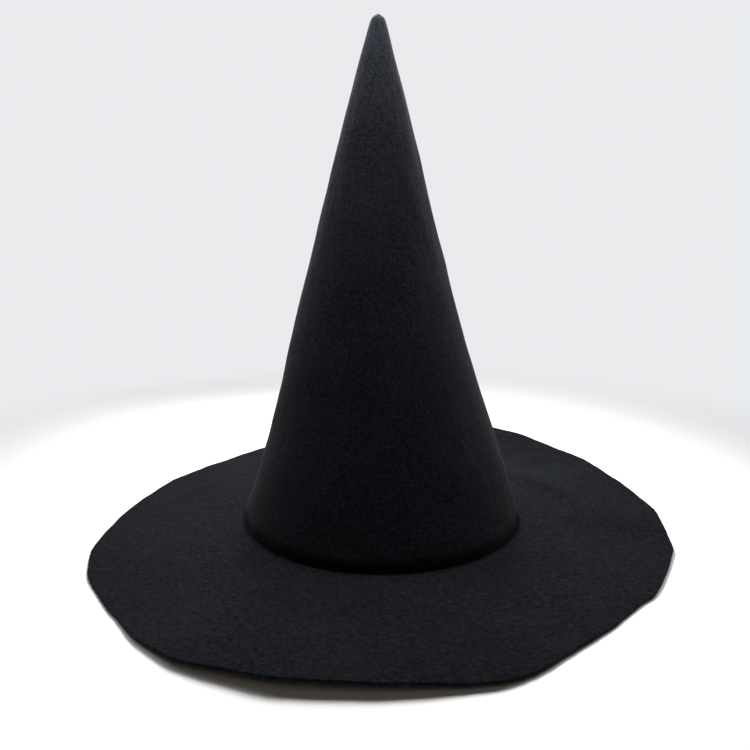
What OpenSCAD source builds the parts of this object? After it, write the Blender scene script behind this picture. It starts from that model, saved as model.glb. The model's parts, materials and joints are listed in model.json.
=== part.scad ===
// Pointed felt hat with a wide floppy brim. Millimetres, +Z up, standing on its brim.
// The axis of the crown is the Z axis, the table is Z = 0, and the back of the hat faces +Y.

/* [Felt] */
// Thickness of the felt
felt_t = 2; // [1.5:0.1:2]

/* [Crown] */
// Height of the tip above the table
crown_h = 351; // [330:1:370]
// Angle between the side of the cone and its axis
cone_half_angle = 15; // [14.6:0.1:15.2]
// Radius that rounds off the tip
tip_r = 5; // [4:0.5:7]
// How far the foot of the cone spreads past the straight side
foot_flare = 6.5; // [5:0.5:8]
// Height over which the foot spreads
foot_flare_h = 112; // [90:1:130]
// Outer radius of the rolled fold at the foot
fold_r = 3.1; // [3:0.1:3.4]
// Height above the table of the centre of that fold
fold_z = 10.4; // [10.3:0.1:10.8]
// Width of the edge that stands up inside the foot
hem_h = 5; // [3:0.5:5]

/* [Back seam] */
// Width of each seam allowance, pressed open against the wall inside
allowance = 6; // [5:0.5:7]
// Height above the table where the allowances are trimmed off
allowance_foot = 26; // [25:1:40]
// Width of the slit where the two edges meet
seam_gap = 0.4; // [0.2:0.1:0.6]
// Depth of the groove that the seam leaves outside
seam_groove = 0.8; // [0.4:0.1:1.2]

/* [Brim] */
// Nominal radius of the brim
brim_r = 203; // [190:1:215]
// Height of the underside where the brim meets the crown
brim_z = 5.2; // [4.5:0.1:5.2]

/* [Sweatband] */
// Thickness of the band
band_t = 1; // [0.9:0.1:1]
// Width of the band
band_h = 18; // [15:1:18]
// Height above the table of the lower edge of the band
band_z = 5; // [4.5:0.1:5.5]

/* [Stitching] */
// Height that a stitch stands above the cloth
thread_t = 0.4; // [0.3:0.05:0.4]
// Length of one visible stitch
stitch_l = 3.2; // [2.5:0.1:3.5]
// Distance from one stitch to the next
stitch_pitch = 4.5; // [4:0.1:6]

/* [Hidden] */
$fn = 96;

// Hand-cut rim: each corner's angle in degrees from +X, how far it strays from the nominal
// radius, and how high the felt's underside is above the table there.
RIM = [
    [-155, 3.5, 0], [-135, 5, 1.5], [-130, 9, 2.5], [-120, 13.5, 4.5], [-105, 13.5, 8.5],
    [-90, 9, 7.5], [-75, 9.5, 3], [-70, 7.5, 2], [-60, -2.5, 1.5], [-40, -7.5, 1],
    [-35, -4, 1], [-15, 0, 0], [0, -2, 8], [15, -4.5, 10], [30, -2, 12], [40, -3.5, 13.5],
    [50, 2, 16.5], [60, 4, 19.5], [85, 4, 14], [105, 0, 7], [125, -6.5, 3], [140, -13.5, 1],
    [155, -11, 0], [175, -10, 0], [185, -6.5, 0], [195, 0, 0]
];
// How far each cut bows out, from straight (0) to an even change of radius (1)
cut_bow = 0.5;
RIM_LOOP = concat(RIM, [RIM[0] + [360, 0, 0]]);
rim_step = 5;
rim_count = 360 / rim_step;

// Gap between two layers of cloth that lie on each other
layer_gap = 0.05;
// Thickness of the folded label, whose end lies between the band and the brim's collar
label_t = 0.45;
felt_colour = [0.06, 0.06, 0.07];
band_colour = [0.04, 0.04, 0.05];
thread_colour = [0.08, 0.08, 0.09];
label_colour = [0.85, 0.85, 0.83];

// ---- Side of the crown ----
// The side is a straight cone that rounds off at the tip and spreads gently towards its foot.

tip_z = crown_h - tip_r;
apex_z = tip_z + tip_r / sin(cone_half_angle);
cone_top_z = tip_z + tip_r * sin(cone_half_angle);
arc_step = 15;

function spread(z) = foot_flare * pow(max(0, 1 - z / foot_flare_h), 1.5);
function outer_r(z) = (apex_z - z) * tan(cone_half_angle) + spread(z);
function lean(z) = atan(
    tan(cone_half_angle) + 1.5 * foot_flare / foot_flare_h * sqrt(max(0, 1 - z / foot_flare_h)));
function inner_r(z) = outer_r(z) - felt_t / cos(lean(z));

// The wall runs into the fold a little above the fold's centre.
fold_start_z = fold_z + fold_r * sin(lean(fold_z));
fold_lean = lean(fold_start_z);
fold_centre_r = outer_r(fold_start_z) - fold_r * cos(fold_lean);
hem_inner_r = fold_centre_r - fold_r;
side_zs = [for (i = [0:8]) foot_flare_h + (fold_start_z - foot_flare_h) * i / 8];

function tip_arc(r, from, to) = [
    for (a = [from:(to > from ? arc_step : -arc_step):to]) [r * cos(a), tip_z + r * sin(a)]
];
function fold_arc(r, from, to) = [
    for (i = [0:10]) let (a = from + (to - from) * i / 10)
        [fold_centre_r + r * cos(a), fold_z + r * sin(a)]
];

// Half section of the crown: down the outside, round the fold, up and over the hem, and up the inside
crown_section = concat(
    tip_arc(tip_r, 90, cone_half_angle),
    [for (z = side_zs) [outer_r(z), z]],
    fold_arc(fold_r, fold_lean, -180),
    [[hem_inner_r, fold_z + hem_h], [hem_inner_r + felt_t, fold_z + hem_h]],
    fold_arc(fold_r - felt_t, -180, fold_lean),
    [for (i = [7:-1:0]) [inner_r(side_zs[i]), side_zs[i]]],
    tip_arc(tip_r - felt_t, cone_half_angle, 90)
);

// A plate in the YZ plane, w wide along X, between two lines that follow the wall's inner side
module wall_plate(w, foot, top, outward, inward) {
    zs = [for (i = [0:8]) foot + (top - foot) * i / 8];
    rotate([90, 0, 90])
        linear_extrude(w, center = true)
            polygon(concat([for (z = zs) [inner_r(z) + outward, z]],
                           [for (i = [8:-1:0]) [inner_r(zs[i]) - inward, zs[i]]]));
}

allowance_top = tip_z - 36;
wall_across = felt_t / cos(cone_half_angle);
// The crease where the two allowances part, which the stitches bridge
crease_w = 1.6;
crease_depth = 0.9;

// Felt cone, closed up the back, with its lower edge rolled under and turned up inside
module crown() {
    color(felt_colour)
        difference() {
            union() {
                rotate_extrude()
                    polygon(crown_section);
                wall_plate(2 * allowance, allowance_foot, allowance_top, 1, wall_across);
            }
            // The slit between the two edges, seen as a groove outside
            wall_plate(seam_gap, fold_start_z, tip_z, wall_across + 2, seam_groove - wall_across);
            // The same slit between the two allowances inside
            wall_plate(seam_gap, allowance_foot - 2, allowance_top + 1, -0.6, wall_across + 2);
            wall_plate(crease_w, allowance_foot - 2, allowance_top + 1,
                       crease_depth - wall_across, wall_across + 2);
        }
}

// ---- Brim ----

function rim_side(a) = [
    for (i = [0:len(RIM) - 1]) if (a >= RIM_LOOP[i][0] && a < RIM_LOOP[i + 1][0]) i
][0];
// Distance from the axis along a cut between two corners
function rim_r(a) =
    let (i = rim_side(a), p = RIM_LOOP[i], q = RIM_LOOP[i + 1])
    let (rp = brim_r + p[1], rq = brim_r + q[1], t = (a - p[0]) / (q[0] - p[0]))
    let (straight = rp * rq * sin(q[0] - p[0]) / (rp * sin(a - p[0]) + rq * sin(q[0] - a)))
    straight + (rp + (rq - rp) * t - straight) * cut_bow;
function ease(t) = t * t * (3 - 2 * t);
function rim_z(a) =
    let (i = rim_side(a), p = RIM_LOOP[i], q = RIM_LOOP[i + 1])
    p[2] + (q[2] - p[2]) * ease((a - p[0]) / (q[0] - p[0]));

collar_outer_r = hem_inner_r - layer_gap;
collar_inner_r = collar_outer_r - felt_t;
collar_top_z = fold_z + hem_h;
brim_bend = 1;
// Where the top and the underside carry a row of points, from the bend (0) to the rim (1)
rows = [0.06, 0.2, 0.4, 0.6, 0.8, 1];

// Height of the underside: level beside the crown, then curving to the height of the rim
function brim_under(s, a) = brim_z + (rim_z(a) - brim_z) * pow(s, 1.5);
function brim_row(s, a) =
    let (start = collar_outer_r + brim_bend)
    [start + (rim_r(a) - start) * s, brim_under(s, a)];

// Section of the brim at an angle, as radius and height, with its inner edge turned up as a collar
function brim_section(a) = concat(
    [[collar_inner_r, collar_top_z], [collar_outer_r, collar_top_z],
     [collar_outer_r, brim_z + felt_t + brim_bend],
     [collar_outer_r + brim_bend, brim_z + felt_t]],
    [for (s = rows) brim_row(s, a) + [0, felt_t]],
    [for (i = [len(rows) - 1:-1:0]) brim_row(rows[i], a)],
    [[collar_outer_r + brim_bend, brim_z], [collar_inner_r + 0.6, brim_z + 0.8],
     [collar_inner_r, brim_z + 2.4]]
);
section_count = len(brim_section(0));

// Felt ring with an uneven, gently waving rim
module brim() {
    points = [
        for (k = [0:rim_count - 1]) let (a = -155 + k * rim_step)
            for (p = brim_section(a)) [p[0] * cos(a), p[0] * sin(a), p[1]]
    ];
    faces = [
        for (k = [0:rim_count - 1]) for (j = [0:section_count - 1])
            let (here = k * section_count, next = ((k + 1) % rim_count) * section_count,
                 up = (j + 1) % section_count)
            each [[here + j, here + up, next + j], [next + j, here + up, next + up]]
    ];
    color(felt_colour)
        polyhedron(points, faces, convexity = 6);
}

// ---- Sweatband ----

band_outer_r = collar_inner_r - label_t - 2 * layer_gap;
// Radius of the head opening
opening_r = band_outer_r - band_t;
// The row of stitches lies in a groove that the thread pulls into the band
groove_depth = thread_t + layer_gap;
groove_z = band_z + 3.5;
groove_w = 1;
// The two ends of the band meet at the back, under a zigzag in a shallow hollow
end_gap = 0.4;
end_hollow_w = 5;
end_hollow_z = groove_z + 2;
end_hollow_h = band_z + band_h - 1 - end_hollow_z;

// Ribbed tape sewn round the head opening
module sweatband() {
    color(band_colour)
        difference() {
            translate([0, 0, band_z])
                cylinder(h = band_h, r = band_outer_r);
            translate([0, 0, band_z - 1])
                cylinder(h = band_h + 2, r = opening_r);
            translate([0, 0, groove_z - groove_w / 2])
                cylinder(h = groove_w, r = opening_r + groove_depth);
            translate([-end_gap / 2, opening_r - 2, band_z - 1])
                cube([end_gap, band_t + 4, band_h + 2]);
            translate([-end_hollow_w / 2, opening_r - 2, end_hollow_z])
                cube([end_hollow_w, 2 + groove_depth, end_hollow_h]);
        }
}

// ---- Care label ----

label_w_deg = 16;
label_middle_deg = 112;
label_foot_z = 11;
label_bend_z = band_z + band_h + 1;
label_top_z = 46;
label_r = band_outer_r + layer_gap;

// Blank folded label, held between the band and the collar, leaning on the wall above the band
module care_label() {
    label_top_r = inner_r(label_top_z) - label_t - 0.3;
    color(label_colour)
        rotate([0, 0, label_middle_deg - label_w_deg / 2])
            rotate_extrude(angle = label_w_deg)
                polygon([[label_r, label_foot_z], [label_r + label_t, label_foot_z],
                         [label_r + label_t, label_bend_z], [label_top_r + label_t, label_top_z],
                         [label_top_r, label_top_z], [label_r, label_bend_z]]);
}

// ---- Stitching ----

// One stitch: a half-round thread along Z, flat on the YZ plane and bulging to +X
module stitch(length) {
    linear_extrude(length, center = true)
        polygon([for (a = [-90:30:90]) [thread_t * cos(a), thread_t * 0.7 * sin(a)]]);
}

// Rungs across the crease between the two allowances, up the inside of the crown
module crown_seam_stitching() {
    row_foot = allowance_foot + 3;
    row_top = allowance_top - 3;
    count = floor((row_top - row_foot) / (stitch_pitch * cos(cone_half_angle)));
    crease_r = crease_depth - wall_across - layer_gap;
    color(thread_colour)
        for (i = [0:count - 1]) {
            z = row_foot + (row_top - row_foot) * (i + 0.5) / count;
            translate([0, inner_r(z) + crease_r, z])
                rotate([0, 90, 0])
                    rotate([0, 0, -90])
                        stitch(crease_w - 2 * layer_gap);
        }
}

// Row round the head opening, through the band, the brim's collar and the crown's hem
module join_stitching() {
    count = floor(2 * PI * opening_r / stitch_pitch);
    color(thread_colour)
        for (i = [0:count - 1])
            rotate([0, 0, 90 + 360 * (i + 0.5) / count])
                translate([opening_r + thread_t, 0, groove_z])
                    mirror([1, 0, 0])
                        rotate([90, 0, 0])
                            stitch(stitch_l);
}

// Zigzag across the two ends of the band at the back
module band_end_stitching() {
    count = 5;
    rise = (end_hollow_h - 1) / count;
    reach = end_hollow_w - 1.2;
    length = sqrt(rise * rise + reach * reach) - 1.2;
    color(thread_colour)
        for (i = [0:count - 1])
            translate([0, opening_r + thread_t, end_hollow_z + 0.5 + rise * (i + 0.5)])
                rotate([0, (i % 2 == 0 ? 1 : -1) * atan(reach / rise), 0])
                    rotate([0, 0, -90])
                        stitch(length);
}

crown();
brim();
sweatband();
care_label();
crown_seam_stitching();
join_stitching();
band_end_stitching();
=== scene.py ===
"""A tall pointed hat in black felt, standing on its hand-cut brim on a pale table."""

import json
import math

import bpy
import numpy as np
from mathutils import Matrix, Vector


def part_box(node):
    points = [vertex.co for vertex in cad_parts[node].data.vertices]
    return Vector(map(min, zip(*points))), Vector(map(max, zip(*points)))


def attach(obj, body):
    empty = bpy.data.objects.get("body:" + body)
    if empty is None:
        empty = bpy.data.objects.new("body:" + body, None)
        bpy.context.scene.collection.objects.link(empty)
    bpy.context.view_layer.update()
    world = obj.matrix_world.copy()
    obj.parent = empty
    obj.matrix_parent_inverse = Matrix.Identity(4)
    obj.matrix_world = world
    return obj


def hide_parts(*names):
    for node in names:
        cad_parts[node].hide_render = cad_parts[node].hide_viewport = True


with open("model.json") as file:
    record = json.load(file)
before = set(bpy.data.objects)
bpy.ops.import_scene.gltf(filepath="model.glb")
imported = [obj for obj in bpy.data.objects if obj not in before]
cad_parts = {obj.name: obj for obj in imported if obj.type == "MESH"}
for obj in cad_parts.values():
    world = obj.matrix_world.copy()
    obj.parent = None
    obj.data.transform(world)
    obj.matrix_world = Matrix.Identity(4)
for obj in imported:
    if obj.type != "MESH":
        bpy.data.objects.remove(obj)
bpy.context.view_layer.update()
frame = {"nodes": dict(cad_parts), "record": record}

MM = 0.001
TURN = 2 * math.pi

# ---- Driving dimensions, from the frame where it gives them ----

head_opening = frame["record"]["mounts"][0]
crown_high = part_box("crown")[1]
band_low, band_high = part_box("sweatband")
label_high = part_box("care_label")[1]

FELT_T = 2.0 * MM
CLOTH_GAP = 0.07 * MM
SEAM_ANGLE = math.radians(90)

# Crown: the tip, the cone, its spread foot, its fullness high up and its lean
TIP_Z = crown_high[2]
TIP_R = 5.0 * MM
CONE_ANGLE = math.radians(15)
FOOT_FLARE = 6.5 * MM
FOOT_FLARE_H = 112 * MM
FULLNESS = 0.9 * MM
FULLNESS_Z = 282 * MM
LEAN = 3.5 * MM
TIP_LEAN_BACK = 0.4 * MM

# Crown: the rolled foot, the hem inside it, and the two allowances of the back seam
FOLD_Z = 12.4 * MM
FOLD_DROP = 4.1 * MM
HEM_TOP = 15.4 * MM
ALLOWANCE = 6.0 * MM
ALLOWANCE_FOOT = 26 * MM
ALLOWANCE_TOP = TIP_Z - 41 * MM

# Brim and what is sewn to it
OPENING_R = head_opening["dims"]["r_mm"] * MM
BAND_T = 1.0 * MM
LABEL_ROOM = 0.55 * MM
COLLAR_R = OPENING_R + BAND_T + LABEL_ROOM + FELT_T / 2
HEM_R = COLLAR_R + FELT_T + CLOTH_GAP
COLLAR_BEND_R = 2.0 * MM
BRIM_TOP_Z = 7.2 * MM
RIM_EASE = 1.0 * MM
JOIN_ROW_Z = band_low[2] + 3.5 * MM

# Stitching
STITCH_PITCH = 4.5 * MM
STITCH_L = 3.2 * MM
THREAD_R = 0.22 * MM


# ---- Helpers for shapes ----

def unit(v):
    """Vectors along the last axis, made one long."""
    return v / np.maximum(np.linalg.norm(v, axis=-1, keepdims=True), 1e-12)


def smooth(t):
    """0 below 0, 1 above 1, and the curve 3t^2 - 2t^3 between."""
    t = np.clip(t, 0, 1)
    return t * t * (3 - 2 * t)


def bump(x, width):
    """A bell curve, 1 where x is 0, that falls to 1/e where x is width."""
    return np.exp(-(x / width) ** 2)


def turn_from(theta, centre):
    """The angle from centre to theta, between minus and plus half a turn."""
    return (theta - centre + math.pi) % TURN - math.pi


def polar(radius, theta, z):
    """Points at a distance from the crown's axis, an angle round it and a height."""
    return np.stack(np.broadcast_arrays(radius * np.cos(theta), radius * np.sin(theta), z), -1)


def waves(seed, theta, along, turns, length, count=24):
    """Soft unevenness, about -1 to 1: a sum of sines whose waves run round the axis a whole
    number of times and along the cloth at random rates, each with a random start."""
    rng = np.random.default_rng(seed)
    total = 0
    for _ in range(count):
        around = rng.integers(turns[0], turns[1] + 1)
        rate = rng.normal() * TURN / length
        total = total + np.sin(around * theta + rate * along + rng.uniform(0, TURN))
    return total * math.sqrt(2 / count) * 0.6


def squarish(turn, power):
    """Cosine and sine of an angle, each raised to a power under 1 with its sign kept: together
    they go round a square with round corners, which are tighter the smaller the power."""
    c, s = np.cos(turn), np.sin(turn)
    return np.sign(c) * np.abs(c) ** power, np.sign(s) * np.abs(s) ** power


def mesh_piece(name, corners, faces, flat):
    """A piece from its corner points and a list of face arrays, turned so that faces point
    outwards: the enclosed volume, summed over the faces, has to be positive. flat gives each
    face corner's place on the flat cloth, in metres, and becomes the piece's UV map."""
    volume = sum(
        np.einsum("ij,ij->", corners[f[:, 0]], np.cross(corners[f[:, k]], corners[f[:, k + 1]]))
        for f in faces for k in range(1, f.shape[1] - 1)
    )
    if volume < 0:
        faces = [f[:, ::-1] for f in faces]
        flat = [uv[:, ::-1] for uv in flat]
    mesh = bpy.data.meshes.new(name)
    mesh.from_pydata(corners.tolist(), [], [row for f in faces for row in f.tolist()])
    layer = mesh.uv_layers.new(name="flat")
    layer.data.foreach_set("uv", np.concatenate([uv.reshape(-1) for uv in flat]))
    mesh.polygons.foreach_set("use_smooth", np.ones(len(mesh.polygons), bool))
    mesh.update()
    piece = bpy.data.objects.new(name, mesh)
    bpy.context.scene.collection.objects.link(piece)
    return piece


def loops(rows, flat, capped):
    """Corners, faces and flat places of a surface made of rows of points, where each row is a
    closed ring and a band of quads joins it to the next. When capped, the first and last rows
    are drawn together into one point each. Otherwise the last row joins the first one, as on a
    tyre. flat has one more column than rows, for the far side of the last quad."""
    count, around = rows.shape[:2]
    index = np.arange(count * around).reshape(count, around)
    if not capped:
        high = np.arange(count)
        low = (high + 1) % count
    else:
        rows = rows.copy()
        rows[[0, -1]] = rows[[0, -1]].mean(1, keepdims=True)
        high, low = np.arange(count - 1), np.arange(1, count)
    ahead = np.roll(index, -1, 1)
    quads = np.stack([index[high], ahead[high], ahead[low], index[low]], -1)
    places = np.stack([flat[high, :-1], flat[high, 1:], flat[low, 1:], flat[low, :-1]], -2)
    if not capped:
        return rows.reshape(-1, 3), [quads.reshape(-1, 4)], [places.reshape(-1, 4, 2)]
    corners = np.concatenate([rows[0, :1], rows[1:-1].reshape(-1, 3), rows[-1, :1]])
    quads = np.clip(quads - around + 1, 0, len(corners) - 1)
    top, sides, end = quads[0][:, [0, 2, 3]], quads[1:-1].reshape(-1, 4), quads[-1][:, :3]
    end[:, 2] = len(corners) - 1
    top[:, 0] = 0
    return corners, [top, sides, end], [places[0][:, [0, 2, 3]], places[1:-1].reshape(-1, 4, 2),
                                        places[-1][:, :3]]


def together(parts):
    """One set of corners, faces and flat places from several."""
    starts = np.cumsum([0] + [len(corners) for corners, _, _ in parts])
    faces = [f + start for (_, some, _), start in zip(parts, starts) for f in some]
    places = [uv for _, _, some in parts for uv in some]
    return np.concatenate([corners for corners, _, _ in parts]), faces, places


# ---- Felt sheets ----

# A cut edge: the turns of its half round, how far it bulges, and how square it is
CUT_TURNS = np.radians([64, 40, 14, -14, -40, -64])
CUT_BULGE = 0.25 * MM
CUT_SQUARENESS = 0.6


def cut_edge(edge, before, normal):
    """Rows that close a cut edge: a squarish half round between the two faces. A row stands out
    along the cloth by the cosine, and across it by the sine, both raised to a power under 1."""
    outward = unit(edge - before)
    out, across = squarish(CUT_TURNS[:, None, None], CUT_SQUARENESS)
    return edge + outward * out * CUT_BULGE + normal * across * FELT_T / 2


def felt_sheet(middle, flat, tip):
    """A felt sheet from its middle surface, rows by columns: both faces stand half a thickness
    off along the surface's normal, and cut edges close them. With tip, row 0 is the tip."""
    along = np.gradient(middle, axis=0)
    around = np.roll(middle, -1, 1) - np.roll(middle, 1, 1)
    normal = unit(np.cross(around, along))
    if tip:
        normal[0] = (0, 0, math.copysign(1, normal[1, 0, 2]))
    end = cut_edge(middle[-1], middle[-2], normal[-1])
    rows = [middle + normal * FELT_T / 2, end, (middle - normal * FELT_T / 2)[::-1]]
    flats = [flat, np.repeat(flat[-1:], len(end), 0), flat[::-1]]
    if not tip:
        start = cut_edge(middle[0], middle[1], normal[0])
        rows.append(start[::-1])
        flats.append(np.repeat(flat[:1], len(start), 0))
    return loops(np.concatenate(rows), np.concatenate(flats), tip)


# ---- Crown ----

CAP_Z = TIP_Z - TIP_R
APEX_Z = CAP_Z + TIP_R / math.sin(CONE_ANGLE)
SIDE_TOP_Z = CAP_Z + TIP_R * math.sin(CONE_ANGLE)
SIDE_FOOT_Z = FOLD_Z + 2.5 * MM
CAP_POWER = 2.0


def side_r(z):
    """Outer radius of the crown at a height: a straight cone, plus a spread near the foot that
    grows with the power 1.5 of the depth below where it starts, plus a bell-shaped fullness."""
    spread = FOOT_FLARE * np.maximum(0, 1 - z / FOOT_FLARE_H) ** 1.5
    fullness = FULLNESS * bump(z - FULLNESS_Z, 48 * MM)
    return (APEX_Z - z) * math.tan(CONE_ANGLE) + spread + fullness


def wall_r(z):
    """Radius of a felt strip's middle, pressed flat on the inside of the crown at a height: the
    outer radius, less the wall that lies under it, half its own thickness and a little air."""
    return side_r(z) - 1.05 * FELT_T / math.cos(CONE_ANGLE) - FELT_T / 2 - 0.3 * MM


def lean_over(z):
    """How far the crown stands sideways of its axis at a height: none at the foot, a steady
    amount above the middle, and a little back again at the tip."""
    back = TIP_LEAN_BACK * smooth((z - 322 * MM) / (24 * MM))
    return back - LEAN * smooth((z - 55 * MM) / (110 * MM))


def crown_profile():
    """Radius and height down the middle of the crown's felt: a cap that is narrower than round,
    because its radius goes with the square of the cosine, the side, a fold that turns under as
    half an ellipse, and the hem that stands up inside it."""
    inset = FELT_T / 2 / math.cos(CONE_ANGLE)
    cap = np.linspace(math.pi / 2, CONE_ANGLE, 7)
    cap_r = TIP_R - FELT_T / 2
    side_z = np.linspace(SIDE_TOP_Z, SIDE_FOOT_Z, 104)[1:]
    fold = np.linspace(CONE_ANGLE, -math.pi, 14)
    reach = (side_r(SIDE_FOOT_Z) - inset - HEM_R) / 2
    hem_z = np.linspace(FOLD_Z, HEM_TOP, 4)[1:]
    return np.concatenate([
        np.stack([cap_r * np.cos(cap) ** CAP_POWER, CAP_Z + cap_r * np.sin(cap)], -1),
        np.stack([side_r(side_z) - inset, side_z], -1),
        np.stack([HEM_R + reach * (1 + np.cos(fold)), FOLD_Z + FOLD_DROP * np.sin(fold)], -1),
        np.stack([np.full(len(hem_z), HEM_R), hem_z], -1)])


# Drag creases low on the crown: angle and slant in degrees; height, length and depth in mm
CREASES = [
    {"angle": -73, "slant": 46, "height": 36, "length": 11, "depth": 0.5},
    {"angle": -58, "slant": 50, "height": 47, "length": 10, "depth": 0.5},
    {"angle": -43, "slant": 62, "height": 66, "length": 12, "depth": 0.45},
    {"angle": -128, "slant": 128, "height": 40, "length": 13, "depth": 0.25},
]


def creases(theta, z):
    """Shallow creases in the side: each is a ridge beside a valley, along a slanted line, that
    fades towards its ends."""
    total = 0
    for crease in CREASES:
        height, slant = crease["height"] * MM, math.radians(crease["slant"])
        across = turn_from(theta, math.radians(crease["angle"])) * side_r(height)
        rise = z - height
        along = across * math.cos(slant) - rise * math.sin(slant)
        off = across * math.sin(slant) + rise * math.cos(slant)
        shape = bump(off, 1.5 * MM) - 0.8 * bump(off - 2.6 * MM, 1.8 * MM)
        total = total + crease["depth"] * MM * shape * bump(along, crease["length"] * MM)
    return total


def seam_columns():
    """Angles round the crown, counted from the back seam, close together beside the seam."""
    half = np.concatenate([np.arange(0, 3, 0.2), np.arange(3, 180, 1.25)])
    return np.radians(np.concatenate([half, [180], 360 - half[:0:-1]]))


# Unevenness of the crown's side: height in mm, random seed, turns round the axis, length in mm
CROWN_WAVES = [(0.5, 3, (1, 4), 260), (0.2, 5, (3, 14), 60), (0.07, 6, (12, 48), 18)]
FOOT_WAVE = 0.35 * MM

# The back seam: the valley, the shoulders beside it, and how far the stitches pucker it
SEAM_DEPTH = 1.1 * MM
SHOULDER_H = 0.3 * MM
PUCKER = 0.3


def crown_sheet():
    """The crown. The round profile is moved sideways with height, waved softly, creased, and
    drawn in along the back seam as a valley between two low shoulders that pucker at each
    stitch. Flat places are those of the cone rolled out."""
    profile = crown_profile()
    columns = seam_columns()
    theta = SEAM_ANGLE + columns[None, :]
    radius, height = profile[:, :1], profile[:, 1:]
    slant = np.concatenate([[0], np.cumsum(np.linalg.norm(np.diff(profile, axis=0), axis=1))])
    slant = slant[:, None]

    across = turn_from(theta, SEAM_ANGLE) * radius
    # The side is free to wave, except near its foot, its tip and its seam
    loose = smooth((height - 16 * MM) / (40 * MM)) * smooth((radius - 4 * MM) / (24 * MM))
    loose = loose * (1 - bump(across, 14 * MM))
    uneven = sum(depth * MM * waves(seed, theta, slant, turns, length * MM)
                 for depth, seed, turns, length in CROWN_WAVES)
    radius = radius + loose * (uneven + creases(theta, height))
    # The rolled foot waves by itself
    low = smooth((height - 8 * MM) / (6 * MM)) * bump(height - 17 * MM, 14 * MM)
    radius = radius + FOOT_WAVE * low * waves(8, theta, slant, (5, 22), 60 * MM)

    # The seam shows from just above the rolled foot to just below the tip
    sewn = smooth((radius - 3 * MM) / (8 * MM)) * smooth((height - 9 * MM) / (5 * MM))
    pucker = 1 + PUCKER * np.sin(TURN * slant / STITCH_PITCH)
    valley = SEAM_DEPTH * bump(across, 1.3 * MM) * pucker
    shoulder = SHOULDER_H * bump(np.abs(across) - 3.4 * MM, 2 * MM)
    radius = radius + sewn * (shoulder - valley)

    middle = polar(radius, theta, height)
    middle[..., 0] += lean_over(height)
    middle[0] = middle[0].mean(0)

    reach = slant + TIP_R / math.tan(CONE_ANGLE)
    swing = (np.append(columns, TURN) - math.pi)[None, :] * math.sin(CONE_ANGLE)
    return felt_sheet(middle, np.stack([reach * np.sin(swing), -reach * np.cos(swing)], -1), True)


# From the seam itself to the near edge of an allowance
SEAM_CREASE = 0.35 * MM


def allowance_strip(side):
    """One seam allowance, pressed flat against the wall inside: a squarish section carried up
    the wall, drawn together at both ends."""
    z = np.linspace(ALLOWANCE_TOP, ALLOWANCE_FOOT, 71)[:, None]
    z = np.concatenate([z[:1], z, z[-1:]])
    turn = np.linspace(0, TURN, 25)[None, :]
    wide, _ = squarish(turn, 0.35)
    _, thick = squarish(turn, 0.5)
    across = side * (SEAM_CREASE + ALLOWANCE / 2 * (1 + wide))
    across = across + 0.25 * MM * waves(31 + side, 0 * turn, z, (1, 1), 30 * MM)
    wall = wall_r(z)
    free = np.abs(across) / ALLOWANCE
    curl = 0.3 * MM * free * (1 + waves(41 + side, 0 * turn, z, (1, 1), 40 * MM))
    rows = polar(wall - FELT_T / 2 * thick - curl, SEAM_ANGLE + across / wall, z)
    rows[..., 0] += lean_over(z)
    flat = np.stack(np.broadcast_arrays(across, z + 0.5), -1)
    return loops(rows[:, :-1], flat, True)


# ---- Brim ----

# Steps round the rim as read and as worked out, and how many fine steps its corners and its
# heights are softened over
RIM_STEPS = 72
FINE_STEPS = 1440
CORNER_STEPS = 5
HEIGHT_STEPS = 18
# Points this close to the outermost one belong to the rim
RIM_DEPTH = 0.1 * MM


def soften(values, width):
    """A ring of values, each averaged with its neighbours under a bell curve width steps wide."""
    reach = np.arange(-3 * width, 3 * width + 1)
    weight = bump(reach, width)
    padded = np.concatenate([values[-3 * width:], values, values[:3 * width]])
    return np.convolve(padded, weight / weight.sum(), "valid")


def rim_outline(theta):
    """Radius and underside height of the rim at each angle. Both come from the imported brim: its
    outermost points every few degrees, joined by straight cuts whose corners are rounded."""
    mesh = frame["nodes"]["brim"].data
    points = np.empty(3 * len(mesh.vertices))
    mesh.vertices.foreach_get("co", points)
    points = points.reshape(-1, 3)
    radius = np.hypot(points[:, 0], points[:, 1])
    step = TURN / RIM_STEPS
    place = np.round(np.arctan2(points[:, 1], points[:, 0]) / step).astype(int) % RIM_STEPS
    outer = [points[(place == k) & (radius > radius[place == k].max() - RIM_DEPTH)]
             for k in range(RIM_STEPS)]
    rim_r = np.array([np.hypot(p[:, 0], p[:, 1]).max() for p in outer])
    rim_z = np.array([p[:, 2].min() for p in outer])
    fine = np.linspace(0, TURN, FINE_STEPS, endpoint=False)
    i = np.floor(fine / step + 1e-9).astype(int)
    back, on = fine - i * step, (i + 1) * step - fine
    p, q = rim_r[i], rim_r[(i + 1) % RIM_STEPS]
    cut = p * q * math.sin(step) / (p * np.sin(back) + q * np.sin(on))
    high = np.interp(fine, np.arange(RIM_STEPS + 1) * step, np.append(rim_z, rim_z[0]))
    around = theta % TURN
    return (np.interp(around, fine, soften(cut, CORNER_STEPS), period=TURN),
            np.interp(around, fine, soften(high, HEIGHT_STEPS), period=TURN))


# The ridge on the right of the brim: the middle of its crest, its direction seen from above,
# its height, and how far it reaches across and along
RIDGE_MIDDLE = (131 * MM, 47 * MM)
RIDGE_TURN = math.radians(-59)
RIDGE_H = 3.8 * MM
RIDGE_ACROSS = 8.5 * MM
RIDGE_ALONG = 42 * MM


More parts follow.
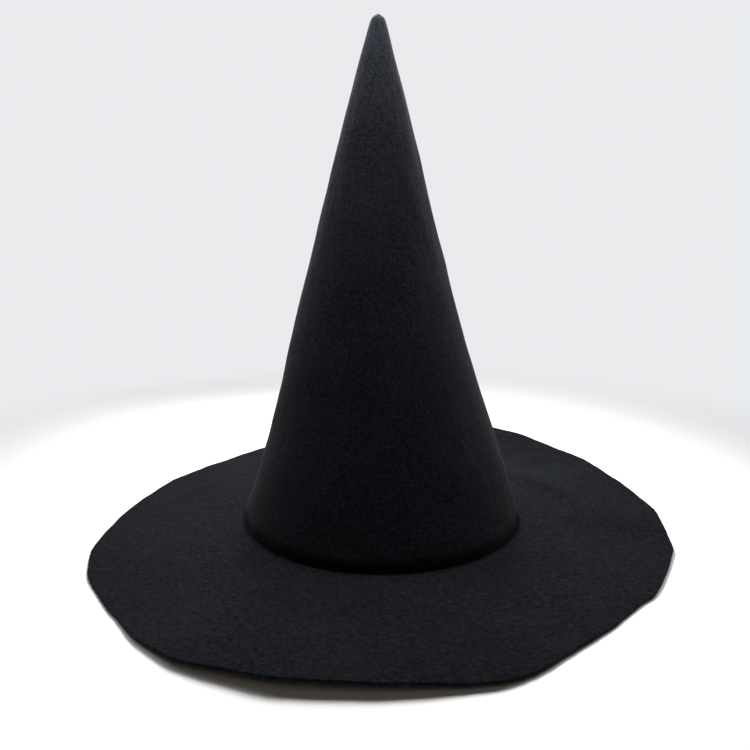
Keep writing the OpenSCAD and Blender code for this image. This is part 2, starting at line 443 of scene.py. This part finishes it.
def ridge_height(x, y):
    """A long low ridge: a bell curve of the distance from its crest, which is steeper on the
    side towards the crown, times a bell curve of the distance along the crest."""
    right, ahead = x - RIDGE_MIDDLE[0], y - RIDGE_MIDDLE[1]
    along = right * math.cos(RIDGE_TURN) + ahead * math.sin(RIDGE_TURN)
    outward = ahead * math.cos(RIDGE_TURN) - right * math.sin(RIDGE_TURN)
    width = RIDGE_ACROSS * (1 + 0.8 * smooth(outward / RIDGE_ACROSS))
    return RIDGE_H * bump(outward, width) * bump(along, RIDGE_ALONG)


# Heights of the brim's waves, long to short; how far the shears stray on the rim, in long and
# short marks; and how softly the felt meets the table
SWAY = 0.8 * MM
RIPPLE = 0.16 * MM
GRAIN = 0.05 * MM
SHEARS_STRAY, SHEARS_NICKS = 0.2 * MM, 0.12 * MM
REST_SOFTNESS = 0.3 * MM
BRIM_COLUMNS = 720


def brim_sheet():
    """The brim: a collar that stands up, a tight bend, and a ring that leaves the crown level
    and curves to the height of the rim. Soft waves, a long low ridge on the right, and shears'
    marks on the rim are laid over it, and nothing goes below the table."""
    theta = np.linspace(-math.pi, math.pi, BRIM_COLUMNS, endpoint=False)[None, :]
    rim_r, rim_z = rim_outline(theta)
    rim_r = rim_r + RIM_EASE + SHEARS_STRAY * waves(11, theta, 0, (18, 60), 1) \
        + SHEARS_NICKS * waves(12, theta, 0, (90, 240), 1)

    bend = COLLAR_BEND_R
    foot_z = BRIM_TOP_Z - FELT_T / 2
    rise = np.linspace(HEM_TOP, foot_z + bend, 5)[:, None] + 0 * theta
    turn = np.radians(np.linspace(180, 270, 7))[1:, None] + 0 * theta
    share = np.linspace(0, 1, 47)[1:, None] ** 0.93

    free = smooth(share * 4)
    start = COLLAR_R + bend
    ring_r = start + (rim_r - start) * share
    ridge = free * ridge_height(ring_r * np.cos(theta), ring_r * np.sin(theta))
    sway = SWAY * share * waves(21, theta, share, (2, 7), 1.6)
    ripple = RIPPLE * waves(22, theta, share, (9, 40), 0.3)
    grain = GRAIN * waves(23, theta, share, (40, 150), 0.08, 40)
    slope = (rim_z + FELT_T / 2 - foot_z) * share ** 1.5
    ring_z = foot_z + slope + ridge + free * (sway + ripple + grain)
    rest = FELT_T / 2
    ring_z = rest + np.logaddexp(0, (ring_z - rest) / REST_SOFTNESS) * REST_SOFTNESS

    radius = np.concatenate([COLLAR_R + 0 * rise, start + bend * np.cos(turn), ring_r])
    height = np.concatenate([rise, foot_z + bend + bend * np.sin(turn), ring_z])
    middle = polar(radius, theta, height)
    reach = radius - np.maximum(0, height - foot_z - bend) * (radius < start)
    place = polar(np.append(reach, reach[:, :1], 1), np.append(theta, [[math.pi]], 1), 0.0)
    return felt_sheet(middle, place[..., :2], False)


# ---- Sweatband, label and stitches ----

# The band's ribs, how deep its grooves are inside and outside, how far the stitches draw it in
# from both sides, and how far its edges are rounded and waved
RIB_PITCH = 1.05 * MM
GROOVE_INSIDE, GROOVE_OUTSIDE = 0.16 * MM, 0.12 * MM
DRAWN_INSIDE, DRAWN_OUTSIDE = 0.28 * MM, 0.1 * MM
BAND_EDGE_ROUND = 0.12 * MM
BAND_EDGE_WAVE = 0.1 * MM
BAND_END_GAP = 0.3 * MM


def band_strip():
    """The ribbed tape round the head opening, its ends meeting at the back. Each rib is a low
    round ridge across the tape, so the thickness follows the absolute value of a sine. The row
    of stitches draws the tape in, and its two edges wave a little with the stitches."""
    middle_r = OPENING_R + BAND_T / 2
    length = TURN * middle_r - BAND_END_GAP
    ribs = round(length / RIB_PITCH)
    s = np.linspace(0, 1, ribs * 4 + 1)
    theta = SEAM_ANGLE + (BAND_END_GAP / 2 + s * length) / middle_r
    groove = (1 - np.abs(np.sin(math.pi * ribs * s)) ** 0.7)[:, None]
    width = band_high[2] - band_low[2]
    up = np.linspace(-1, 1, 9)
    edge = 1 - 0.35 * np.abs(up) ** 6
    z = (band_low[2] + band_high[2]) / 2 + up * width / 2 * 0.985
    drawn = bump(z - JOIN_ROW_Z, 1.1 * MM)
    inner = OPENING_R + GROOVE_INSIDE * groove + DRAWN_INSIDE * drawn
    outer = OPENING_R + BAND_T - GROOVE_OUTSIDE * groove - DRAWN_OUTSIDE * drawn
    middle, half = (inner + outer) / 2, (outer - inner) / 2 * edge
    wave = BAND_EDGE_WAVE * np.sin(TURN * s[:, None] * length / STITCH_PITCH)
    z = z + wave * (np.abs(up) > 0.9)
    theta = theta[:, None]
    rows = np.concatenate([polar(middle - half, theta, z),
                           polar(middle, theta, z[:, -1:] + BAND_EDGE_ROUND)[:, -1:],
                           polar(middle + half, theta, z)[:, ::-1],
                           polar(middle, theta, z[:, :1] - BAND_EDGE_ROUND)[:, :1]], 1)
    across = np.concatenate([up, up[-1:], up[::-1], up[:1], up[:1]]) * width / 2
    rows = np.concatenate([rows[:1], rows, rows[-1:]])
    along = np.concatenate([[0], s, [1]])[:, None] * length
    return loops(rows, np.stack(np.broadcast_arrays(along, across), -1), True)


# The label: its width, the thickness of a ply, its middle's angle, its foot and its curl
LABEL_W = 24.5 * MM
LABEL_PLY = 0.18 * MM
LABEL_ANGLE = math.radians(112)
LABEL_FOOT = 11 * MM
LABEL_CURL = 1.3 * MM


def label_strip():
    """The blank woven label: a ribbon folded in half. Its two ends stand behind the band, and
    the fold leans on the wall above it. Its sides curl with the square of the way across."""
    bend_z, highest = band_high[2] + 1 * MM, label_high[2]
    z = np.linspace(LABEL_FOOT, highest - 0.4 * MM, 40)
    free = smooth((z - bend_z) / (highest - bend_z))
    behind = OPENING_R + BAND_T + LABEL_ROOM / 2
    wall = side_r(z[-1]) - FELT_T / math.cos(CONE_ANGLE) - 0.9 * MM
    lean = behind + (wall - behind) * free ** 0.8
    curl = LABEL_CURL * free
    half_turn = np.radians(np.linspace(0, 180, 9))[1:-1]
    spread = LABEL_PLY / 2 + 0.02 * MM + 0.25 * MM * free
    inner, outer = lean - spread, lean + spread
    top_r = lean[-1] + spread[-1] * -np.cos(half_turn)
    top_z = z[-1] + spread[-1] * np.sin(half_turn)
    radius = np.concatenate([inner, top_r, outer[::-1]])
    height = np.concatenate([z, top_z, z[::-1]])
    curl = np.concatenate([curl, np.full(len(top_r), curl[-1]), curl[::-1]])
    along = np.concatenate([[0], np.cumsum(np.hypot(np.diff(radius), np.diff(height)))])

    step_r, step_z = np.gradient(radius), np.gradient(height)
    size = np.hypot(step_r, step_z)
    out_r, out_z = step_z / size, -step_r / size
    turn = np.linspace(0, TURN, 49)[None, :]
    wide, _ = squarish(turn, 0.9)
    _, thick = squarish(turn, 0.35)
    u, v = wide * LABEL_W / 2, thick * LABEL_PLY / 2
    r = radius[:, None] + out_r[:, None] * v - curl[:, None] * wide ** 2
    rows = polar(r, LABEL_ANGLE + u / behind, height[:, None] + out_z[:, None] * v)
    rows = np.concatenate([rows[:1], rows, rows[-1:]])
    along = np.concatenate([along[:1], along, along[-1:]])[:, None]
    return loops(rows[:, :-1], np.stack(np.broadcast_arrays(along, u), -1), True)


def stitches(start, end, out, rise):
    """A row of stitches, each a thread from its start to its end that arches off the cloth by
    rise and dips into it at both ends: a round section carried along half a sine wave."""
    t = np.linspace(0, 1, 7)[None, :, None, None]
    turn = np.linspace(0, TURN, 7)[None, None, :, None]
    start, end, out = (v[:, None, None, :] for v in (start, end, out))
    length = np.linalg.norm(end - start, axis=-1, keepdims=True)
    along = (end - start) / length
    side = np.cross(along, out)
    arch = rise * np.sin(math.pi * t) ** 0.6 - THREAD_R * 0.6
    thick = THREAD_R * (1 - 0.45 * (2 * t - 1) ** 4)
    rows = start + (end - start) * t + out * (arch + thick * np.cos(turn)) \
        + side * thick * np.sin(turn)
    rows = np.concatenate([rows[:, :1], rows, rows[:, -1:]], 1)
    places = np.concatenate([t[:, :1], t, t[:, -1:]], 1)[..., 0] * length[..., 0]
    flat = np.stack(np.broadcast_arrays(places, turn[..., 0] * THREAD_R), -1)
    return together([loops(row[:, :-1], uv, True) for row, uv in zip(rows, flat)])


# Stitches at the back stand off the cloth in this direction
TO_FRONT = (0.0, -1.0, 0.0)
ZIGZAG_CORNERS = 8
ZIGZAG_REACH = 1.9 * MM


def seam_stitches():
    """Short stitches across the crease between the two allowances, up the inside of the crown."""
    step = STITCH_PITCH * math.cos(CONE_ANGLE)
    z = np.arange(ALLOWANCE_FOOT + 3 * MM, ALLOWANCE_TOP - 3 * MM, step)
    wall = wall_r(z)
    face = wall - FELT_T / 2 + 0.25 * MM
    reach = 1.1 * MM / wall
    start, end = polar(face, SEAM_ANGLE - reach, z), polar(face, SEAM_ANGLE + reach, z)
    start[:, 0] += lean_over(z)
    end[:, 0] += lean_over(z)
    return stitches(start, end, np.tile(TO_FRONT, (len(z), 1)), rise=0.3 * MM)


def join_stitches():
    """A row of stitches round the head opening, along the groove that they draw in the band."""
    count = math.floor(TURN * OPENING_R / STITCH_PITCH)
    centre = SEAM_ANGLE + TURN * (np.arange(count) + 0.5) / count
    half = STITCH_L / 2 / OPENING_R
    face = OPENING_R + 0.3 * MM
    start = polar(face, centre - half, JOIN_ROW_Z)
    end = polar(face, centre + half, JOIN_ROW_Z)
    return stitches(start, end, polar(-1.0, centre, 0.0), rise=0.2 * MM)


def end_stitches():
    """A zigzag across the two ends of the band, at the back."""
    z = np.linspace(JOIN_ROW_Z + 2.6 * MM, band_high[2] - 1.6 * MM, ZIGZAG_CORNERS)
    reach = np.where(np.arange(ZIGZAG_CORNERS) % 2, 1.0, -1.0) * ZIGZAG_REACH / OPENING_R
    corner = polar(OPENING_R + 0.16 * MM, SEAM_ANGLE + reach, z)
    out = np.tile(TO_FRONT, (len(z) - 1, 1))
    return stitches(corner[:-1], corner[1:], out, rise=0.22 * MM)


# ---- Materials ----

def new_material(name):
    """An empty material with a Principled shader: the material, its node tree, the shader."""
    material = bpy.data.materials.new(name)
    material.use_nodes = True
    tree = material.node_tree
    tree.nodes.clear()
    out = tree.nodes.new("ShaderNodeOutputMaterial")
    shader = tree.nodes.new("ShaderNodeBsdfPrincipled")
    tree.links.new(shader.outputs["BSDF"], out.inputs["Surface"])
    return material, tree, shader


def node(tree, kind, inputs=None, **settings):
    """Adds a node, with its settings, and its inputs as values or as links from sockets."""
    made = tree.nodes.new("ShaderNode" + kind)
    for key, value in settings.items():
        setattr(made, key, value)
    for key, value in (inputs or {}).items():
        feed(tree, made.inputs[key], value)
    return made


def feed(tree, socket, value):
    """Gives a socket a value, or a link from another socket."""
    if isinstance(value, bpy.types.NodeSocket):
        tree.links.new(value, socket)
    else:
        socket.default_value = value


def calc(tree, operation, *values):
    """The result of a Math node."""
    return node(tree, "Math", dict(enumerate(values)), operation=operation).outputs[0]


def spread_out(tree, value, low, high, to_low=0.0, to_high=1.0):
    """A value stretched from one range to another, and held within it."""
    return node(tree, "MapRange", {"Value": value, "From Min": low, "From Max": high,
                                   "To Min": to_low, "To Max": to_high}).outputs[0]


def blend_colour(tree, share, first, second):
    """A mix of two colours."""
    mixed = node(tree, "Mix", {"Factor": share}, data_type="RGBA")
    first_in, second_in = (s for s in mixed.inputs if s.type == "RGBA")
    feed(tree, first_in, first)
    feed(tree, second_in, second)
    return next(s for s in mixed.outputs if s.type == "RGBA")


def new_group(name, inputs, outputs):
    """An empty shader node group: its tree and its input and output nodes. inputs are numbers,
    by name, after a Vector; outputs are names of numbers."""
    group = bpy.data.node_groups.new(name, "ShaderNodeTree")
    group.interface.new_socket("Vector", in_out="INPUT", socket_type="NodeSocketVector")
    for label, value in inputs.items():
        socket = group.interface.new_socket(label, in_out="INPUT", socket_type="NodeSocketFloat")
        socket.default_value = value
    for label in outputs:
        group.interface.new_socket(label, in_out="OUTPUT", socket_type="NodeSocketFloat")
    return group, group.nodes.new("NodeGroupInput"), group.nodes.new("NodeGroupOutput")


def felt_fibres_group():
    """Needled fibres on a flat cloth. Fine noise is drawn out along three directions and the
    highest of them shows, as crossing fibres; a rounder noise gives tufts, and a broad one
    gives thin and thick places. Size is the length of a tuft in metres."""
    group, come, go = new_group("felt_fibres", {"Size": 2.5 * MM, "Drawn Out": 5.0},
                                ("Fibres", "Tufts", "Clouds", "Height"))
    rate = calc(group, "DIVIDE", 1.0, come.outputs["Size"])
    narrow = calc(group, "DIVIDE", rate, come.outputs["Drawn Out"])
    stretch = node(group, "CombineXYZ", {"X": narrow, "Y": rate}).outputs[0]
    crossing = None
    for angle, weight in ((8, 1.0), (71, 0.97), (129, 0.95)):
        turned = node(group, "VectorRotate", {"Vector": come.outputs["Vector"],
                                              "Angle": math.radians(angle)},
                      rotation_type="Z_AXIS").outputs[0]
        place = node(group, "VectorMath", {0: turned, 1: stretch}, operation="MULTIPLY")
        noise = node(group, "TexNoise", {"Vector": place.outputs[0], "Scale": 2.2, "Detail": 2.0,
                                         "Roughness": 0.6, "Distortion": 0.7},
                     noise_dimensions="2D").outputs["Fac"]
        strand = calc(group, "MULTIPLY", noise, weight)
        crossing = strand if crossing is None else calc(group, "MAXIMUM", crossing, strand)
    fibres = spread_out(group, crossing, 0.52, 0.8)
    even = node(group, "VectorMath", {0: come.outputs["Vector"], 1: rate},
                operation="MULTIPLY").outputs[0]
    tuft = node(group, "TexNoise", {"Vector": even, "Scale": 0.9, "Detail": 3.0,
                                    "Roughness": 0.65}, noise_dimensions="2D").outputs["Fac"]
    tufts = spread_out(group, tuft, 0.32, 0.7)
    broad = node(group, "TexNoise", {"Vector": even, "Scale": 0.05, "Detail": 4.0,
                                     "Roughness": 0.6}, noise_dimensions="2D").outputs["Fac"]
    clouds = spread_out(group, broad, 0.3, 0.7)
    height = calc(group, "MULTIPLY_ADD", tufts, 0.5, fibres)
    for label, value in (("Fibres", fibres), ("Tufts", tufts), ("Clouds", clouds),
                         ("Height", height)):
        group.links.new(value, go.inputs[label])
    return group


def threads_group():
    """Woven threads: fine ridges along the cloth and, staggered, across it. Each is the absolute
    value of a sine, and slow noise along a thread makes it thicker and thinner."""
    group, come, go = new_group("woven_threads", {"Warp": 0.3 * MM, "Weft": 0.3 * MM},
                                ("Ridge", "Slub"))
    axes = node(group, "SeparateXYZ", {"Vector": come.outputs["Vector"]}).outputs
    ridges = []
    for axis, label in ((axes[0], "Warp"), (axes[1], "Weft")):
        turns = calc(group, "MULTIPLY", calc(group, "DIVIDE", axis, come.outputs[label]), math.pi)
        ridges.append(calc(group, "ABSOLUTE", calc(group, "SINE", turns)))
    slub = node(group, "TexNoise", {"Vector": come.outputs["Vector"], "Scale": 900.0,
                                    "Detail": 2.0}, noise_dimensions="2D").outputs["Fac"]
    ridge = calc(group, "MULTIPLY", ridges[0], ridges[1])
    group.links.new(ridge, go.inputs["Ridge"])
    group.links.new(spread_out(group, slub, 0.3, 0.7), go.inputs["Slub"])
    return group


def flat_place(tree):
    """Places on the flat cloth, in metres."""
    return node(tree, "UVMap", uv_map="flat").outputs["UV"]


def felt_material(name, dark, light, size, drawn_out):
    """Black non-woven felt: the fibres, tufts and clouds mix a dark and a lighter tone, raise
    the bump and vary the roughness; a weak sheen stands for the fuzz of loose ends."""
    material, tree, shader = new_material(name)
    felt = node(tree, "Group", node_tree=FELT_FIBRES)
    feed(tree, felt.inputs["Vector"], flat_place(tree))
    felt.inputs["Size"].default_value = size
    felt.inputs["Drawn Out"].default_value = drawn_out
    tone = calc(tree, "MULTIPLY", felt.outputs["Tufts"], 0.3)
    tone = calc(tree, "MULTIPLY_ADD", felt.outputs["Fibres"], 0.5, tone)
    tone = calc(tree, "MULTIPLY_ADD", felt.outputs["Clouds"], 0.14, tone)
    feed(tree, shader.inputs["Base Color"], blend_colour(tree, tone, dark, light))
    feed(tree, shader.inputs["Roughness"], spread_out(tree, felt.outputs["Tufts"], 0, 1,
                                                      0.98, 0.86))
    raised = node(tree, "Bump", {"Height": felt.outputs["Height"], "Distance": 0.16 * MM,
                                 "Strength": 0.9})
    feed(tree, shader.inputs["Normal"], raised.outputs[0])
    shader.inputs["Specular IOR Level"].default_value = 0.03
    shader.inputs["Sheen Weight"].default_value = 0.034
    shader.inputs["Sheen Roughness"].default_value = 0.45
    shader.inputs["Sheen Tint"].default_value = (0.93, 0.95, 1.0, 1)
    return material


def woven_material(name, dark, light, warp, weft, rough, specular, sheen):
    """Woven tape or ribbon: painted light and shade, the threads lighter on their crests and
    darker in the grooves between them, and their own tone uneven along their length.
    """
    material, tree, shader = new_material(name)
    weave = node(tree, "Group", node_tree=WOVEN_THREADS)
    feed(tree, weave.inputs["Vector"], flat_place(tree))
    weave.inputs["Warp"].default_value = warp
    weave.inputs["Weft"].default_value = weft
    # Painted light and shade: the crests of the threads are lighter and the grooves darker; the
    # slub adds the threads' own uneven tone.
    tone = calc(tree, "MULTIPLY_ADD", weave.outputs["Slub"], 0.4,
                calc(tree, "MULTIPLY", weave.outputs["Ridge"], 0.6))
    feed(tree, shader.inputs["Base Color"], blend_colour(tree, tone, dark, light))
    feed(tree, shader.inputs["Roughness"], spread_out(tree, weave.outputs["Ridge"], 0, 1,
                                                      rough + 0.12, rough))
    raised = node(tree, "Bump", {"Height": weave.outputs["Ridge"], "Distance": 0.06 * MM,
                                 "Strength": 0.8})
    feed(tree, shader.inputs["Normal"], raised.outputs[0])
    shader.inputs["Specular IOR Level"].default_value = specular
    shader.inputs["Sheen Weight"].default_value = sheen
    shader.inputs["Sheen Roughness"].default_value = 0.5
    return material


def thread_material():
    """Black sewing thread of two plies: the twist is a slanted sine along and round the thread,
    and it is painted lighter on the crests of the plies and darker, as painted shade, in the
    grooves between them.
    """
    material, tree, shader = new_material("black_thread")
    axes = node(tree, "SeparateXYZ", {"Vector": flat_place(tree)}).outputs
    slanted = calc(tree, "ADD", calc(tree, "DIVIDE", axes[0], 0.55 * MM),
                   calc(tree, "DIVIDE", axes[1], THREAD_R * TURN))
    twist = calc(tree, "ABSOLUTE", calc(tree, "SINE", calc(tree, "MULTIPLY", slanted, TURN)))
    # Painted shade in the grooves between the plies and painted light on their crests.
    dark, light = (0.006, 0.006, 0.008, 1), (0.034, 0.036, 0.042, 1)
    feed(tree, shader.inputs["Base Color"], blend_colour(tree, twist, dark, light))
    feed(tree, shader.inputs["Roughness"], spread_out(tree, twist, 0, 1, 0.75, 0.5))
    raised = node(tree, "Bump", {"Height": twist, "Distance": 0.05 * MM, "Strength": 0.8})
    feed(tree, shader.inputs["Normal"], raised.outputs[0])
    return material


FELT_FIBRES = felt_fibres_group()
WOVEN_THREADS = threads_group()

MATERIALS = {
    "crown_felt": felt_material("crown_felt", (0.0005, 0.0007, 0.0011, 1),
                                (0.0122, 0.0132, 0.0186, 1), size=2.1 * MM, drawn_out=5.0),
    "brim_felt": felt_material("brim_felt", (0.0005, 0.0007, 0.0011, 1),
                               (0.0119, 0.0137, 0.0176, 1), size=2.9 * MM, drawn_out=4.0),
    # The tape's and the label's dark and light tones are painted shade in the grooves of their
    # weave and painted light on its crests.
    "ribbed_tape": woven_material("ribbed_tape", (0.0016, 0.0016, 0.0022, 1),
                                  (0.011, 0.011, 0.0135, 1), warp=0.26 * MM, weft=0.3 * MM,
                                  rough=0.5, specular=0.2, sheen=0.03),
    "label_satin": woven_material("label_satin", (0.56, 0.55, 0.52, 1), (0.82, 0.81, 0.78, 1),
                                  warp=0.12 * MM, weft=0.45 * MM, rough=0.38, specular=0.5,
                                  sheen=0.15),
    "black_thread": thread_material(),
}


# ---- Pieces ----

def place_piece(name, parts, material, cad_node):
    """One finished piece from the parts of its surface, in place of a CAD node."""
    piece = mesh_piece(name, *together(parts))
    piece.data.materials.append(MATERIALS[material])
    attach(piece, "root")
    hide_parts(cad_node)
    return piece


crown = place_piece("felt_crown", [crown_sheet(), allowance_strip(-1), allowance_strip(1)],
                    "crown_felt", "crown")
brim = place_piece("felt_brim", [brim_sheet()], "brim_felt", "brim")
band = place_piece("ribbed_sweatband", [band_strip()], "ribbed_tape", "sweatband")
label = place_piece("blank_care_label", [label_strip()], "label_satin", "care_label")
place_piece("seam_threads", [seam_stitches()], "black_thread", "crown_seam_stitching")
place_piece("join_threads", [join_stitches()], "black_thread", "join_stitching")
place_piece("band_end_threads", [end_stitches()], "black_thread", "band_end_stitching")


# ---- Table, light and camera ----

def table_top():
    """A round pale table, which the eye sees fade, away from the hat, into the room's tone."""
    sides, radius, top = 96, 12.0, -0.1 * MM
    turn = np.linspace(0, TURN, sides, endpoint=False)
    corners = np.concatenate([polar(radius, turn, top), [[0, 0, top]]])
    k = np.arange(sides)
    faces = np.stack([k, (k + 1) % sides, np.full(sides, sides)], -1)
    mesh = bpy.data.meshes.new("table")
    mesh.from_pydata(corners.tolist(), [], faces.tolist())
    table = bpy.data.objects.new("table", mesh)
    bpy.context.scene.collection.objects.link(table)
    material, tree, shader = new_material("table_white")
    feed(tree, shader.inputs["Base Color"], TABLE_TONE)
    shader.inputs["Roughness"].default_value = 0.8
    shader.inputs["Specular IOR Level"].default_value = 0.1
    place = node(tree, "TexCoord").outputs["Object"]
    far = node(tree, "VectorMath", {0: place}, operation="LENGTH").outputs["Value"]
    fade = node(tree, "MapRange", {"Value": far, "From Min": FADE_START, "From Max": FADE_END},
                interpolation_type="SMOOTHSTEP").outputs[0]
    glow = node(tree, "Emission", {"Color": ROOM_TONE}).outputs[0]
    eye = node(tree, "LightPath").outputs["Is Camera Ray"]
    mixed = node(tree, "MixShader", {0: calc(tree, "MULTIPLY", fade, eye), 1: shader.outputs[0],
                                     2: glow}).outputs[0]
    tree.links.new(mixed, tree.nodes["Material Output"].inputs["Surface"])
    mesh.materials.append(material)


def soft_light(name, place, aim, size, power, colour):
    """A rectangular soft light, unseen itself, turned from its place towards a point."""
    light = bpy.data.lights.new(name, "AREA")
    light.shape = "RECTANGLE"
    light.size, light.size_y = size
    light.energy, light.color = power, colour
    lamp = bpy.data.objects.new(name, light)
    x, y, z = (a - b for a, b in zip(aim, place))
    lamp.location = place
    lamp.rotation_euler = (math.atan2(math.hypot(x, y), -z), 0, math.atan2(y, x) - math.pi / 2)
    lamp.visible_camera = False
    bpy.context.scene.collection.objects.link(lamp)


def surroundings():
    """A plain bright room: what the eye sees is pale, and what lights the hat is dimmer."""
    world = bpy.data.worlds.new("room")
    bpy.context.scene.world = world
    world.use_nodes = True
    tree = world.node_tree
    tree.nodes.clear()
    seen = node(tree, "Background", {"Color": ROOM_TONE}).outputs[0]
    lit = node(tree, "Background", {"Color": ROOM_TONE, "Strength": ROOM_STRENGTH}).outputs[0]
    eye = node(tree, "LightPath").outputs["Is Camera Ray"]
    mixed = node(tree, "MixShader", {0: eye, 1: lit, 2: seen}).outputs[0]
    out = tree.nodes.new("ShaderNodeOutputWorld")
    tree.links.new(mixed, out.inputs["Surface"])


def camera_on_hat():
    """The camera stands in front of the hat, about two thirds of the way up, and looks down a
    little."""
    camera = bpy.data.objects.new("camera", bpy.data.cameras.new("camera"))
    camera.location = CAMERA_PLACE
    camera.rotation_euler = (math.pi / 2 - CAMERA_TILT, 0, 0)
    camera.data.sensor_width, camera.data.lens = SENSOR_MM, LENS_MM
    bpy.context.scene.collection.objects.link(camera)
    bpy.context.scene.camera = camera


TABLE_TONE = (0.78, 0.78, 0.79, 1)
FADE_START, FADE_END = 0.24, 0.56
ROOM_TONE = (0.82, 0.83, 0.85, 1)
ROOM_STRENGTH = 0.01

CAMERA_PLACE = (-0.00504, -0.5551, 0.2387)
CAMERA_TILT = math.radians(12.875)
SENSOR_MM, LENS_MM = 36, 38.4

# Soft lights: place, the point each is turned to, width and height in metres, watts and colour
LIGHTS = {
    "low_top_light": ((0, 0, 0.46), (0, 0, 0), (0.42, 0.42), 0.75, (1, 0.98, 0.95)),
    "high_top_light": ((0, 0, 0.62), (0, 0, 0), (0.5, 0.5), 0.3, (1, 1, 1)),
    "top_strip": ((0, 0.04, 0.43), (0, 0.04, 0), (0.4, 0.04), 3.3, (1, 0.99, 0.97)),
    "back_light": ((-0.1, 0.4, 0.27), (0, 0, 0.2), (0.6, 0.34), 1.6, (0.92, 0.97, 1)),
    "left_light": ((-0.36, 0.08, 0.35), (0, 0, 0.28), (0.5, 0.22), 1.1, (0.92, 0.97, 1)),
    "right_light": ((0.36, 0.08, 0.35), (0, 0, 0.28), (0.5, 0.22), 1.6, (0.92, 0.97, 1)),
    "front_light": ((0, -0.62, 0.42), (0, -0.2, 0), (0.5, 0.3), 0.32, (1, 0.88, 0.74)),
}

table_top()
surroundings()
for lamp_name, (place, aim, size, power, colour) in LIGHTS.items():
    soft_light(lamp_name, place, aim, size, power, colour)
camera_on_hat()
bpy.context.scene.view_settings.view_transform = "Standard"
